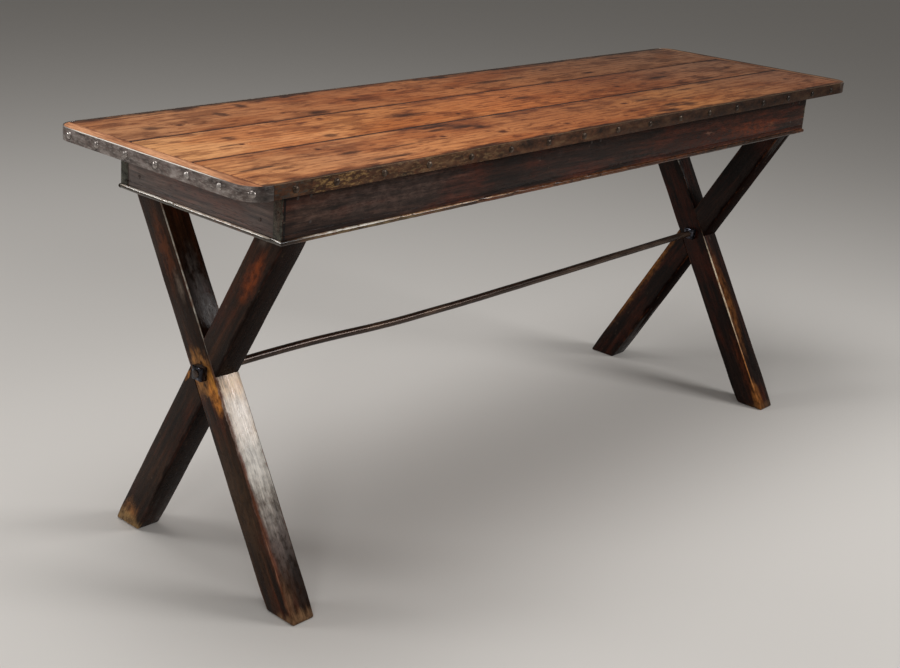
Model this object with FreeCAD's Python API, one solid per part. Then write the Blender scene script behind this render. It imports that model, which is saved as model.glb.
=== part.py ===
import FreeCAD, Part
import math
import os

from FreeCAD import Vector

os.makedirs("parts", exist_ok=True)

# Tavern table, in millimetres. +X runs along the table to its right end, -Y is the front,
# +Z is up, and the origin is on the floor under the middle of the top.

# The whole table, measured over the iron band
table_length = 1800.0
table_width = 514.0
table_height = 780.0

# Wooden top: three boards between two narrow end clamps
top_thickness = 24.0
corner_radius = 40.0
middle_board_width = 162.0
seam_gap = 0.8
clamp_width = 28.0
tongue_length = 10.0
tongue_thickness = 8.0
tongue_stop = 30.0
tongue_clearance = 0.2

# Iron band round the edge of the top. The end strips go round the corners.
band_thickness = 2.0
band_lap = 5.0
band_joint_gap = 0.6

# Dome-headed nails of the band
dome_diameter = 13.0
dome_height = 3.5
dome_shank_diameter = 3.0
dome_shank_length = 16.0
side_dome_count = 15
side_dome_margin = 172.0
side_dome_last_margin = 88.0
end_dome_count = 6
end_dome_back_margin = 46.5
end_dome_front_margin = 72.5
corner_dome_angle = 45.0

# Apron: two long side boards with two end boards between them
end_overhang = 104.0
side_overhang = 47.0
apron_height = 84.0
apron_board_thickness = 20.0
quirk_width = 1.6
quirk_depth = 1.2
quirk_height = 7.5

# Moulding strip under the apron boards, with a half-round nose
moulding_height = 9.0
moulding_projection = 3.0
brad_diameter = 2.0
brad_length = 26.0
side_brad_count = 7
end_brad_count = 3
brad_end_margin = 60.0

# Crossed legs, halved into each other. The middle line of each leg runs from the floor, this far
# inside the edge of the top, to the underside of the moulding, this far inside the apron.
leg_width = 60.0
leg_thickness = 52.0
foot_inset = 36.5
leg_top_inset = 47.8
halving_clearance = 0.1
foot_bevel = 3.0

# Bearers that lie across the table under the top
bearer_height = 40.0
middle_bearer_width = 52.0

# Screws that hold the top boards, up through the bearers. The first share is of half the middle
# board, and the others are of the side board between the seam and the apron.
top_screw_diameter = 5.0
top_screw_head_diameter = 10.0
top_screw_bite = 15.0
middle_screw_share = 0.556
outer_screw_shares = (0.22, 0.587)

# Screws that hold the leg tops, down through the end bearers
leg_screw_diameter = 7.0
leg_screw_head_diameter = 13.0
leg_screw_bite = 50.0
leg_screw_inset = 16.0

# Cut nails that hold the apron boards
apron_nail_diameter = 3.0
apron_nail_head_diameter = 6.0
apron_nail_head_height = 1.5
apron_nail_bite = 25.0
bearer_nail_spacing = 28.0
leg_nail_drop = 22.0
end_leg_nail_inset = 32.0
end_bearer_nail_offsets = (-130.0, -60.0, 60.0, 130.0)

# Iron tie rod, slightly bent by use, with a square nut on each side of each crossing
rod_diameter = 15.0
rod_clearance = 0.4
rod_sag = 10.0
rod_end_stub = 2.0
nut_width = 25.0
nut_thickness = 14.0
nut_chamfer = 2.0
nut_clearance = 0.1

# Bends of the rod: where they lie along half its free length, and their share of the sag
rod_bend_shares = ((-0.73, 0.05), (-0.45, 1.0), (-0.085, 0.98), (0.90, 0.0))
bend_run_share = 0.45
rod_straight_angle = 0.01

# Room round a nail or screw in its hole
fastener_clearance = 0.1

# Cuts run this far past the wood or iron that they cut
overrun = 10.0

# Levels and planes that several pieces share
half_length = table_length / 2
half_width = table_width / 2
under_top = table_height - top_thickness
slab_half_length = half_length - band_thickness
slab_half_width = half_width - band_thickness
board_end = slab_half_length - clamp_width
top_middle_level = under_top + top_thickness / 2
apron_face_x = half_length - end_overhang
apron_face_y = half_width - side_overhang
apron_inside_x = apron_face_x - apron_board_thickness
apron_inside_y = apron_face_y - apron_board_thickness
apron_bottom = under_top - apron_height
moulding_bottom = apron_bottom - moulding_height
seam = middle_board_width / 2
bearer_bottom = under_top - bearer_height
bearer_middle_level = under_top - bearer_height / 2
leg_plane = apron_inside_x - leg_thickness / 2
foot_y = half_width - foot_inset
leg_tangent = (foot_y + apron_face_y - leg_top_inset) / moulding_bottom
leg_secant = math.hypot(1, leg_tangent)
crossing_height = foot_y / leg_tangent

x_axis = Vector(1, 0, 0)
y_axis = Vector(0, 1, 0)
z_axis = Vector(0, 0, 1)


def block(x0, x1, y0, y1, z0, z1):
    # Rectangular block between two corners, whichever way round they come
    corner = Vector(min(x0, x1), min(y0, y1), min(z0, z1))
    return Part.makeBox(abs(x1 - x0), abs(y1 - y0), abs(z1 - z0), corner)


def prism(points, push):
    # Flat outline pushed along a vector
    outline = Part.makePolygon(points + points[:1])
    return Part.Face(outline).extrude(push)


def rounded_slab(half_x, half_y, radius, low, high):
    # Upright slab with its four upright corners rounded
    slab = block(-half_x, half_x, -half_y, half_y, low, high)
    corners = [edge for edge in slab.Edges if abs(edge.tangentAt(edge.FirstParameter).z) > abs(
        edge.tangentAt(edge.FirstParameter).x) + abs(edge.tangentAt(edge.FirstParameter).y)]
    return slab.makeFillet(radius, corners)


def spread(first, last, count):
    # Places evenly spread from first to last
    step = (last - first) / max(count - 1, 1)
    return [first + step * number for number in range(count)]


def turned(shape, point, direction):
    # A fastener is made along +Z with its head's seat at the origin, then set in place
    moved = shape.copy()
    moved.Placement = FreeCAD.Placement(point, FreeCAD.Rotation(z_axis, direction))
    return moved


def dome_nail(room=0.0):
    # Domed head above the seat and a round shank below it
    radius = dome_diameter / 2
    ball = (radius ** 2 + dome_height ** 2) / (2 * dome_height)
    rise = ball - dome_height
    middle = Vector(ball * math.sin(math.atan2(radius, rise) / 2), 0,
                    ball * math.cos(math.atan2(radius, rise) / 2) - rise)
    top = Vector(0, 0, dome_height)
    rim = Vector(radius, 0, 0)
    arc = Part.Arc(top, middle, rim).toShape()
    base = Part.LineSegment(rim, Vector()).toShape()
    axis = Part.LineSegment(Vector(), top).toShape()
    head = Part.Face(Part.Wire([arc, base, axis])).revolve(Vector(), z_axis, 360)
    shank_radius = dome_shank_diameter / 2 + room
    shank = Part.makeCylinder(shank_radius, dome_shank_length + room, Vector(), -z_axis)
    return head.fuse(shank).removeSplitter()


def countersunk_screw(diameter, head_diameter, length, room=0.0):
    # Head flush with the seat: a cone that narrows to the shank
    radius = diameter / 2 + room
    head_radius = head_diameter / 2 + room
    head = Part.makeCone(head_radius, radius, head_radius - radius, Vector(), -z_axis)
    shank = Part.makeCylinder(radius, length + room, Vector(), -z_axis)
    return head.fuse(shank).removeSplitter()


def cut_nail(room=0.0):
    # Head flush with the seat, shank below it
    length = apron_board_thickness + apron_nail_bite
    head_radius = apron_nail_head_diameter / 2 + room
    head = Part.makeCylinder(head_radius, apron_nail_head_height + room, Vector(), -z_axis)
    shank = Part.makeCylinder(apron_nail_diameter / 2 + room, length + room, Vector(), -z_axis)
    return head.fuse(shank).removeSplitter()


def brad(room=0.0):
    # Headless pin
    return Part.makeCylinder(brad_diameter / 2 + room, brad_length + room, Vector(), -z_axis)


def drilled(shape, fastener, seats):
    # The shape with a hole for each fastener that reaches into it
    holes = [turned(fastener, point, direction) for point, direction in seats]
    holes = [hole for hole in holes if hole.BoundBox.intersect(shape.BoundBox)]
    if holes:
        shape = shape.cut(Part.makeCompound(holes))
    return shape


def group(fastener, seats):
    # Identical fasteners in one compound of separate solids
    return Part.makeCompound([turned(fastener, point, direction) for point, direction in seats])


def side_dome_seats(side):
    # Seats on a long edge: an even row and one more near each corner
    last = half_length - side_dome_margin
    corner = half_length - side_dome_last_margin
    places = [-corner] + spread(-last, last, side_dome_count) + [corner]
    return [(Vector(x, side * half_width, top_middle_level), y_axis * side) for x in places]


def end_dome_seats(side):
    # Seats on an end strip: a row along the end and one on the corner curve.
    # The right end is the left end turned half round.
    back = half_width - end_dome_back_margin
    front = -half_width + end_dome_front_margin
    seats = [(Vector(side * half_length, -side * y, top_middle_level), x_axis * side)
             for y in spread(back, front, end_dome_count)]
    turn = math.radians(corner_dome_angle)
    outward = Vector(side * math.cos(turn), side * math.sin(turn), 0)
    centre = Vector(side * (half_length - corner_radius), side * (half_width - corner_radius),
                    top_middle_level)
    return seats + [(centre + outward * corner_radius, outward)]


def top_screw_places():
    # Two screws in each board, alike on both sides of the middle line of the table
    half = [middle_screw_share * seam]
    half += [seam + share * (apron_inside_y - seam) for share in outer_screw_shares]
    return [-y for y in reversed(half)] + half


def top_screw_seats():
    seats = []
    for x in (-leg_plane, 0, leg_plane):
        for y in top_screw_places():
            seats.append((Vector(x, y, bearer_bottom), -z_axis))
    return seats


def leg_screw_seats():
    seats = []
    for x in (-leg_plane, leg_plane):
        for side in (-1, 1):
            seats.append((Vector(x, side * (apron_inside_y - leg_screw_inset), under_top), z_axis))
    return seats


def side_nail_seats(side):
    # Through a side board: two into each bearer's end and one into each leg top
    seats = []
    level = bearer_bottom - leg_nail_drop
    for x in (-leg_plane, 0, leg_plane):
        for step in (-bearer_nail_spacing / 2, bearer_nail_spacing / 2):
            seats.append((Vector(x + step, side * apron_face_y, bearer_middle_level), y_axis * side))
    for end in (-1, 1):
        x = end * (leg_plane - bearer_nail_spacing / 2)
        seats.append((Vector(x, side * apron_face_y, level), y_axis * side))
    return seats


def end_nail_seats(side):
    # Through an end board: into the bearer and into both leg tops
    level = bearer_bottom - leg_nail_drop
    seats = [(Vector(side * apron_face_x, y, bearer_middle_level), x_axis * side)
             for y in end_bearer_nail_offsets]
    for half in (-1, 1):
        y = half * (apron_inside_y - end_leg_nail_inset)
        seats.append((Vector(side * apron_face_x, y, level), x_axis * side))
    return seats


def side_brad_seats(side):
    y = side * (apron_face_y - apron_board_thickness / 2)
    last = apron_face_x - brad_end_margin
    return [(Vector(x, y, moulding_bottom), -z_axis) for x in spread(-last, last, side_brad_count)]


def end_brad_seats(side):
    x = side * (apron_face_x - apron_board_thickness / 2)
    last = apron_inside_y - brad_end_margin
    return [(Vector(x, y, moulding_bottom), -z_axis) for y in spread(-last, last, end_brad_count)]


top_screw = countersunk_screw(top_screw_diameter, top_screw_head_diameter,
                              bearer_height + top_screw_bite)
top_screw_hole = countersunk_screw(top_screw_diameter, top_screw_head_diameter,
                                   bearer_height + top_screw_bite, fastener_clearance)
leg_screw = countersunk_screw(leg_screw_diameter, leg_screw_head_diameter,
                              bearer_height + leg_screw_bite)
leg_screw_hole = countersunk_screw(leg_screw_diameter, leg_screw_head_diameter,
                                   bearer_height + leg_screw_bite, fastener_clearance)

dome_seats = []
for end in (-1, 1):
    dome_seats += side_dome_seats(end) + end_dome_seats(end)

nail_seats = []
for end in (-1, 1):
    nail_seats += side_nail_seats(end) + end_nail_seats(end)

brad_seats = []
for end in (-1, 1):
    brad_seats += side_brad_seats(end) + end_brad_seats(end)


def end_band(side):
    # From one long side round the end to the other
    reach = half_length - corner_radius - band_lap
    keep = block(side * reach, side * (half_length + overrun), -half_width - overrun,
                 half_width + overrun, under_top - overrun, table_height + overrun)
    outside = rounded_slab(half_length, half_width, corner_radius, under_top, table_height)
    inside = rounded_slab(slab_half_length, slab_half_width, corner_radius - band_thickness,
                          under_top - overrun, table_height + overrun)
    return drilled(outside.cut(inside).common(keep), dome_nail(fastener_clearance), dome_seats)


def side_band(side):
    # Straight strip between the end strips
    reach = half_length - corner_radius - band_lap - band_joint_gap
    strip = block(-reach, reach, side * slab_half_width, side * half_width, under_top, table_height)
    return drilled(strip, dome_nail(fastener_clearance), dome_seats)


def tongue(end, room=0.0):
    # Tongue on the board ends, let into the clamp, stopped short of the long edges
    reach = slab_half_width - tongue_stop + room
    thick = tongue_thickness / 2 + room
    return block(end * (board_end - overrun), end * (board_end + tongue_length + room),
                 -reach, reach, top_middle_level - thick, top_middle_level + thick)


def top_slab():
    return rounded_slab(slab_half_length, slab_half_width, corner_radius - band_thickness,
                        under_top, table_height)


def top_board(low, high):
    # Board between two lines along the table, with a tongue at each end
    strip = block(-board_end, board_end, low, high, under_top, table_height)
    for end in (-1, 1):
        part = block(end * (board_end - overrun), end * half_length, low, high,
                     under_top, table_height)
        strip = strip.fuse(tongue(end).common(part))
    board = strip.removeSplitter().common(top_slab())
    board = drilled(board, dome_nail(fastener_clearance), dome_seats)
    return drilled(board, top_screw_hole, top_screw_seats())


def end_clamp(side):
    outer = block(side * board_end, side * (half_length + overrun), -half_width, half_width,
                  under_top, table_height)
    clamp = top_slab().common(outer).cut(tongue(side, tongue_clearance))
    return drilled(clamp, dome_nail(fastener_clearance), dome_seats)


def side_board(side):
    # Runs the whole length of the apron, so its end grain shows on the ends of the table
    board = block(-apron_face_x, apron_face_x, side * apron_inside_y, side * apron_face_y,
                  apron_bottom, under_top)
    groove = block(-apron_face_x - overrun, apron_face_x + overrun,
                   side * (apron_face_y - quirk_depth), side * (apron_face_y + overrun),
                   apron_bottom + quirk_height, apron_bottom + quirk_height + quirk_width)
    board = drilled(board.cut(groove), cut_nail(fastener_clearance), side_nail_seats(side))
    return drilled(board, brad(fastener_clearance), side_brad_seats(side))


def end_board(side):
    board = block(side * apron_inside_x, side * apron_face_x, -apron_inside_y, apron_inside_y,
                  apron_bottom, under_top)
    groove = block(side * (apron_face_x - quirk_depth), side * (apron_face_x + overrun),
                   -apron_inside_y - overrun, apron_inside_y + overrun,
                   apron_bottom + quirk_height, apron_bottom + quirk_height + quirk_width)
    board = drilled(board.cut(groove), cut_nail(fastener_clearance), end_nail_seats(side))
    return drilled(board, brad(fastener_clearance), end_brad_seats(side))


def moulding_strip(half_outside):
    # Strip along +X whose nose points to -Y and touches y = 0, mitred at both ends
    depth = apron_board_thickness + moulding_projection
    radius = moulding_height / 2
    low = Vector(-half_outside, radius, 0)
    nose = Vector(-half_outside, 0, radius)
    high = Vector(-half_outside, radius, moulding_height)
    back_high = Vector(-half_outside, depth, moulding_height)
    back_low = Vector(-half_outside, depth, 0)
    edges = [Part.Arc(low, nose, high).toShape(), Part.LineSegment(high, back_high).toShape(),
             Part.LineSegment(back_high, back_low).toShape(), Part.LineSegment(back_low, low).toShape()]
    strip = Part.Face(Part.Wire(edges)).extrude(x_axis * (2 * half_outside))
    for end in (-1, 1):
        far = depth + overrun
        mitre = prism([Vector(end * (half_outside + overrun), -overrun, -overrun),
                       Vector(end * (half_outside + overrun), far, -overrun),
                       Vector(end * (half_outside - far), far, -overrun)],
                      z_axis * (moulding_height + 2 * overrun))
        strip = strip.cut(mitre)
    return strip


def side_moulding(side):
    strip = moulding_strip(apron_face_x + moulding_projection)
    strip.translate(Vector(0, -apron_face_y - moulding_projection, moulding_bottom))
    if side > 0:
        strip.rotate(Vector(), z_axis, 180)
    return drilled(strip, brad(fastener_clearance), side_brad_seats(side))


def end_moulding(side):
    strip = moulding_strip(apron_face_y + moulding_projection)
    strip.translate(Vector(0, -apron_face_x - moulding_projection, moulding_bottom))
    strip.rotate(Vector(), z_axis, side * 90)
    return drilled(strip, brad(fastener_clearance), end_brad_seats(side))


def bearer(x, width):
    wood = block(x - width / 2, x + width / 2, -apron_inside_y, apron_inside_y,
                 bearer_bottom, under_top)
    wood = drilled(wood, top_screw_hole, top_screw_seats())
    wood = drilled(wood, leg_screw_hole, leg_screw_seats())
    return drilled(wood, cut_nail(fastener_clearance), nail_seats)


def leg_blank(lean, inner, outer, room=0.0):
    # Straight leg between two planes across the table. Its top leans to +Y where lean is 1.
    half_run = (leg_width / 2 + room) * leg_secant
    foot = -lean * foot_y
    head = lean * (bearer_bottom - crossing_height) * leg_tangent
    points = [Vector(inner, foot - half_run, 0), Vector(inner, foot + half_run, 0),
              Vector(inner, head + half_run, bearer_bottom), Vector(inner, head - half_run, bearer_bottom)]
    return prism(points, x_axis * (outer - inner))


def leg(side, lean, outer_half):
    # One leg of a crossed pair. outer_half is true for the leg that shows whole outside.
    inside = side * (leg_plane - leg_thickness / 2)
    outside = side * (leg_plane + leg_thickness / 2)
    middle = side * leg_plane
    wood = leg_blank(lean, inside, outside)
    if outer_half:
        notch = leg_blank(-lean, inside - side * overrun, middle, halving_clearance)
    else:
        notch = leg_blank(-lean, middle, outside + side * overrun, halving_clearance)
    wood = wood.cut(notch)
    shoulder = block(inside - side * overrun, outside + side * overrun, lean * apron_inside_y,
                     lean * table_width, moulding_bottom, under_top)
    wood = wood.cut(shoulder)
    floor_edges = [edge for edge in wood.Edges if edge.BoundBox.ZMax < foot_bevel / 2]
    wood = wood.makeChamfer(foot_bevel, floor_edges)
    bore = Part.makeCylinder(rod_diameter / 2 + rod_clearance, leg_thickness + 2 * overrun,
                             Vector(middle - leg_thickness / 2 - overrun, 0, crossing_height), x_axis)
    wood = wood.cut(bore)
    wood = drilled(wood, leg_screw_hole, leg_screw_seats())
    return drilled(wood, cut_nail(fastener_clearance), nail_seats)


def tie_rod():
    # Straight in the legs and nuts, with long easy bends between them
    tip = apron_inside_x + nut_thickness + rod_end_stub
    free = leg_plane - leg_thickness / 2 - nut_thickness
    points = [Vector(-tip, 0, crossing_height)]
    for along, drop in rod_bend_shares:
        points.append(Vector(along * free, 0, crossing_height - drop * rod_sag))
    points.append(Vector(tip, 0, crossing_height))
    # The rod is straight until it is clear of the nuts
    points.insert(1, Vector(-free, 0, crossing_height))
    points.insert(len(points) - 1, Vector(free, 0, crossing_height))
    edges = []
    start = points[0]
    for before, corner, after in zip(points, points[1:], points[2:]):
        arrive = (corner - before).normalize()
        leave = (after - corner).normalize()
        turn = arrive.getAngle(leave)
        if turn < math.radians(rod_straight_angle):
            continue
        reach = bend_run_share * min(before.distanceToPoint(corner), corner.distanceToPoint(after))
        first = corner - arrive * reach
        last = corner + leave * reach
        radius = reach / math.tan(turn / 2)
        inward = (leave - arrive).normalize()
        middle = corner + inward * (radius / math.cos(turn / 2) - radius)
        edges.append(Part.LineSegment(start, first).toShape())
        edges.append(Part.Arc(first, middle, last).toShape())
        start = last
    edges.append(Part.LineSegment(start, points[-1]).toShape())
    path = Part.Wire(edges)
    section = Part.Wire([Part.Circle(points[0], x_axis, rod_diameter / 2).toShape()])
    rod = path.makePipeShell([section], True, True)
    ideal = path.Length * math.pi * rod_diameter ** 2 / 4
    print("tie rod: length %.1f, volume against section times length %.5f" % (
        path.Length, rod.Volume / ideal))
    return rod


def square_nut():
    # Nut whose seat is at z = 0, with its outer corners chamfered
    half = nut_width / 2
    nut = block(-half, half, -half, half, 0, nut_thickness)
    rim = [edge for edge in nut.Edges if edge.BoundBox.ZMin > nut_thickness / 2]
    nut = nut.makeChamfer(nut_chamfer, rim)
    bore = Part.makeCylinder(rod_diameter / 2 + nut_clearance, nut_thickness + 2 * overrun,
                             Vector(0, 0, -overrun))
    return nut.cut(bore)


def nut_seats():
    seats = []
    for side in (-1, 1):
        outer = Vector(side * (leg_plane + leg_thickness / 2), 0, crossing_height)
        inner = Vector(side * (leg_plane - leg_thickness / 2), 0, crossing_height)
        seats += [(outer, x_axis * side), (inner, x_axis * -side)]
    return seats


nodes = {
    "top_board_front": top_board(-slab_half_width, -seam - seam_gap / 2),
    "top_board_middle": top_board(-seam + seam_gap / 2, seam - seam_gap / 2),
    "top_board_back": top_board(seam + seam_gap / 2, slab_half_width),
    "middle_bearer": bearer(0, middle_bearer_width),
    "top_screws": group(top_screw, top_screw_seats()),
    "leg_screws": group(leg_screw, leg_screw_seats()),
    "moulding_brads": group(brad(), brad_seats),
    "tie_rod": tie_rod(),
    "tie_rod_nuts": group(square_nut(), nut_seats()),
}
for name, side in (("left", -1), ("right", 1)):
    nodes["end_clamp_" + name] = end_clamp(side)
    nodes["edge_band_" + name] = end_band(side)
    nodes["band_nails_" + name] = group(dome_nail(), end_dome_seats(side))
    nodes["apron_board_" + name] = end_board(side)
    nodes["apron_nails_" + name] = group(cut_nail(), end_nail_seats(side))
    nodes["moulding_" + name] = end_moulding(side)
    nodes["end_bearer_" + name] = bearer(side * leg_plane, leg_thickness)
    nodes["leg_" + name + "_outer"] = leg(side, -side, True)
    nodes["leg_" + name + "_inner"] = leg(side, side, False)
for name, side in (("front", -1), ("back", 1)):
    nodes["edge_band_" + name] = side_band(side)
    nodes["band_nails_" + name] = group(dome_nail(), side_dome_seats(side))
    nodes["apron_board_" + name] = side_board(side)
    nodes["apron_nails_" + name] = group(cut_nail(), side_nail_seats(side))
    nodes["moulding_" + name] = side_moulding(side)

for name in sorted(nodes):
    shape = nodes[name]
    shape.exportStep("parts/" + name + ".step")
    print("%-20s %3d solids %12.0f mm3 %s" % (
        name, len(shape.Solids), shape.Volume, "valid" if shape.isValid() else "NOT VALID"))
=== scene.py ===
import math
from collections import namedtuple
from functools import partial

import bmesh
import bpy
from mathutils import Matrix, Vector, noise


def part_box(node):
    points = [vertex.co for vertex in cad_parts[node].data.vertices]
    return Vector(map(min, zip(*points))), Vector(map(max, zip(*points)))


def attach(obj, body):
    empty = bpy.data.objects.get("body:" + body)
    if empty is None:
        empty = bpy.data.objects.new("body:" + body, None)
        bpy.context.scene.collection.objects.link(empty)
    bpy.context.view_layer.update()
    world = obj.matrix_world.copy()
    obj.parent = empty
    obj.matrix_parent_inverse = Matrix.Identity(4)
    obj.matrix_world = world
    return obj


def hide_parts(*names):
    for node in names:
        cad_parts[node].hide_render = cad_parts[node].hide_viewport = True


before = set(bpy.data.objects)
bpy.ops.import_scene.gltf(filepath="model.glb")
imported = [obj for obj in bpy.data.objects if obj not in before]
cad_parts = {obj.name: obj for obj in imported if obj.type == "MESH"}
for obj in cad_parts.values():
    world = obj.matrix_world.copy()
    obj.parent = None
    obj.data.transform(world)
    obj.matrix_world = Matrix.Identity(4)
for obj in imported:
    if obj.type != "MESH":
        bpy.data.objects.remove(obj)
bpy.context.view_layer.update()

# Tavern table: boarded pine top in a nailed iron band, moulded apron, halved cross legs, iron tie rod.
# +X is along the table, -Y its front, +Z up. Sizes in the dictionaries are millimetres, and a piece's "wear" is
# how far its points are moved, and the span of the bumps.

mm = 0.001
xWay, yWay, zWay = Vector((1, 0, 0)), Vector((0, 1, 0)), Vector((0, 0, 1))
sides, ends = (("front", -1), ("back", 1)), (("left", -1), ("right", 1))
onPlane = 1e-6  # metres from a cutting plane within which a point counts as on it
shadedSharp = 35  # degrees between two faces, past which their edge is shaded sharp
smooth = {"interpolation_type": "SMOOTHSTEP"}
noise.seed_set(11)  # the noise starts from the clock otherwise, and the wear would change from run to run


def linear(hexText):
    # sRGB hex to the linear colour a shader reads
    steps = [int(hexText[start:start + 2], 16) / 255 for start in (1, 3, 5)]
    return (*(step / 12.92 if step <= 0.04045 else ((step + 0.055) / 1.055) ** 2.4 for step in steps), 1.0)


def metres(sizes):
    return tuple(size * mm for size in sizes)


def addNode(tree, kind, sockets=(), stops=(), **options):
    # One shader node: its options, then a value or another node for each socket, by name or in their order
    node = tree.nodes.new("ShaderNode" + kind)
    for option, value in options.items():
        setattr(node, option, value)
    if stops:
        while len(node.color_ramp.elements) < len(stops):
            node.color_ramp.elements.new(0.5)
        for element, (place, colour) in zip(node.color_ramp.elements, stops):
            element.position = place
            element.color = linear(colour)
    for socket, value in (sockets if isinstance(sockets, dict) else dict(enumerate(sockets))).items():
        if isinstance(value, bpy.types.Node):
            value = value.outputs[0]
        if isinstance(value, bpy.types.NodeSocket):
            tree.links.new(value, node.inputs[socket])
        else:
            node.inputs[socket].default_value = value
    return node


def startNodes(owner):
    # Empties the node tree of a material or world, and gives what adds a node to it
    owner.use_nodes = True
    owner.node_tree.nodes.clear()
    return partial(addNode, owner.node_tree)


def startMaterial(name):
    material = bpy.data.materials.new(name.replace("_", " "))
    return material, startNodes(material)


def closeMaterial(add, shaderSockets, relief=0.0, height=None, layers=()):
    # Principled shader, with patterns laid over a first one as relief of so many millimetres
    for pattern, share in layers:
        height = add("Math", [pattern, share, height], operation="MULTIPLY_ADD")
    if height is not None:
        bump = add("Bump", {"Height": height, "Distance": relief * mm, "Strength": 1.0})
        shaderSockets = dict(shaderSockets, Normal=bump)
    add("OutputMaterial", {"Surface": add("BsdfPrincipled", shaderSockets)})


def drawnNoise(add, vector, cells, roughness=0.62, shift=(0, 0, 0)):
    # Noise with cells = (millimetres, how far they are drawn out in x, y and z, detail)
    size, drawn, detail = cells
    drawnOut = add("Mapping", {"Vector": vector, "Location": shift, "Scale": [1 / axis for axis in drawn]})
    return add("TexNoise", {"Vector": drawnOut, "Scale": 1000 / size, "Detail": detail, "Roughness": roughness})


def ovalReach(add, vector, middle, halfSizes):
    # Distance from the middle of an oval mark, as a share of its size: 1 on its rim
    local = add("Mapping", {"Vector": vector, "Location": metres(middle), "Scale": metres(halfSizes)},
                vector_type="TEXTURE")
    return add("VectorMath", [local], operation="LENGTH").outputs["Value"]


def nearestMark(add, vector, marks, look):
    # That distance for the nearest of some marks: middle x and y, half length and half width
    nearest = None
    for x, y, halfLength, halfWidth in marks:
        reach = ovalReach(add, vector, (x, y, look["level"]), (halfLength, halfWidth, look["markDepth"]))
        nearest = reach if nearest is None else add("Math", [nearest, reach], operation="MINIMUM")
    return nearest


def awayFrom(add, axis, level):
    # Distance on one axis from a level in millimetres
    return add("Math", [add("Math", [axis, level * mm], operation="SUBTRACT")], operation="ABSOLUTE")


# Noise lies round 0.5, nearly all of it between 0.3 and 0.7. Where it is mapped in the materials below, the
# first two numbers are the values between which a pattern grows.


def scrubbedPine(name, look):
    # Old pine boards, scrubbed and waxed: orange tan with broken dark lines of latewood that run round the
    # knots, brown and violet-grey smears along the grain, dark water stains, grime along the seams and the iron,
    # and painted shade darkening the top towards its right end
    material, add = startMaterial(name)
    place = add("TexCoord").outputs["Object"]
    along, across = add("SeparateXYZ", [place]).outputs[:2]

    # Grain runs along local X. The seed gives each board wood of its own.
    grain = add("Mapping", {"Vector": place, "Rotation": (0, 0, math.radians(look["turn"])),
                            "Location": (look["seed"], look["seed"] * 0.37, 0)})
    fibres, streaks, bruises = [drawnNoise(add, grain, look[cells]) for cells in ("fibres", "streaks", "bruises")]
    knots = nearestMark(add, place, look["knots"], look)
    bend = 0.0
    if knots is not None:
        reach, most = look["knotBend"]
        bend = add("MapRange", [knots, 0.0, reach, most, 0.0], interpolation_type="SMOOTHERSTEP")
    stretched = add("Mapping", {"Vector": grain, "Scale": (look["ringDraw"], 1.0, 0.3)})
    # At scale 1 a wave texture's bands are 314 mm apart
    rings = add("TexWave", {
        "Vector": stretched, "Scale": 314 / look["ringWidth"], "Distortion": look["wander"], "Detail": 2.5,
        "Detail Scale": look["ringWidth"] / look["wanderWidth"], "Detail Roughness": 0.65,
        "Phase Offset": bend}, wave_type="BANDS", bands_direction="Y", wave_profile="SIN").outputs["Fac"]

    # The wood's tone along the table, from the left end to the right, with painted shade darkening it towards the
    # right end where the light falls off; all that follows darkens it
    position = add("MapRange", [along, -0.9, 0.9])
    colour = add("ValToRGB", [position], look["tonesAndShadeAlong"])
    shades = []
    for number, (size, drawn, low, high, tone, strength) in enumerate(look["smears"]):
        smear = drawnNoise(add, grain, (size, (drawn, 1, 1), 5.0), shift=(number * 1.7, number * 2.3, 0))
        smear = add("MapRange", [smear, low, high, 0.0, strength * look["smearStrength"]], **smooth)
        shades.append((smear, tone))
    lateWood = add("MapRange", [rings, 0.5, 1.0, 0.0, look["ringStrength"]], **smooth)
    broken = add("MapRange", [streaks, 0.42, 0.6, 0.1])
    shades.append((add("Math", [lateWood, broken], operation="MULTIPLY"), look["lateWood"]))

    # Torn rims for stains and grime: a little noise on their distance
    torn = add("Math", [streaks, bruises], operation="ADD")
    torn = add("Math", [torn, 1.0], operation="SUBTRACT")
    for level, spread, tear, tone, strength in look["grime"]:
        away = awayFrom(add, along if look["turn"] else across, level)
        away = add("Math", [away, spread * mm], operation="DIVIDE")
        away = add("Math", [torn, -tear, away], operation="MULTIPLY_ADD")
        shades.append((add("MapRange", [away, *look["grimeRim"], strength, 0.0], **smooth), tone))
    stains = nearestMark(add, place, look["stains"], look)
    if stains is not None:
        stains = add("Math", [torn, -look["tear"], stains], operation="MULTIPLY_ADD")
        blot = add("MapRange", [stains, *look["stainRim"], look["stainStrength"], 0.0], **smooth)
        shades.append((blot, look["stain"]))
    if knots is not None:
        ring = add("MapRange", [knots, *look["knotRim"], look["knotStrength"], 0.0], **smooth)
        shades.append((ring, look["knot"]))
    for share, tone in shades:
        colour = add("MixRGB", [share, colour, linear(tone)], blend_type="MULTIPLY")
    fibreTone = add("MapRange", [fibres, 0.3, 0.7, *look["fibreTone"]])
    colour = add("MixRGB", [1.0, colour, fibreTone], blend_type="MULTIPLY")
    rough = add("MapRange", [bruises, 0.3, 0.7, *look["rough"]])
    closeMaterial(add, {"Base Color": colour, "Roughness": rough, "IOR": 1.5, "Specular IOR Level": 0.3},
                  look["relief"], fibres, [(rings, -0.3), (streaks, 1.5)])
    return material


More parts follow.
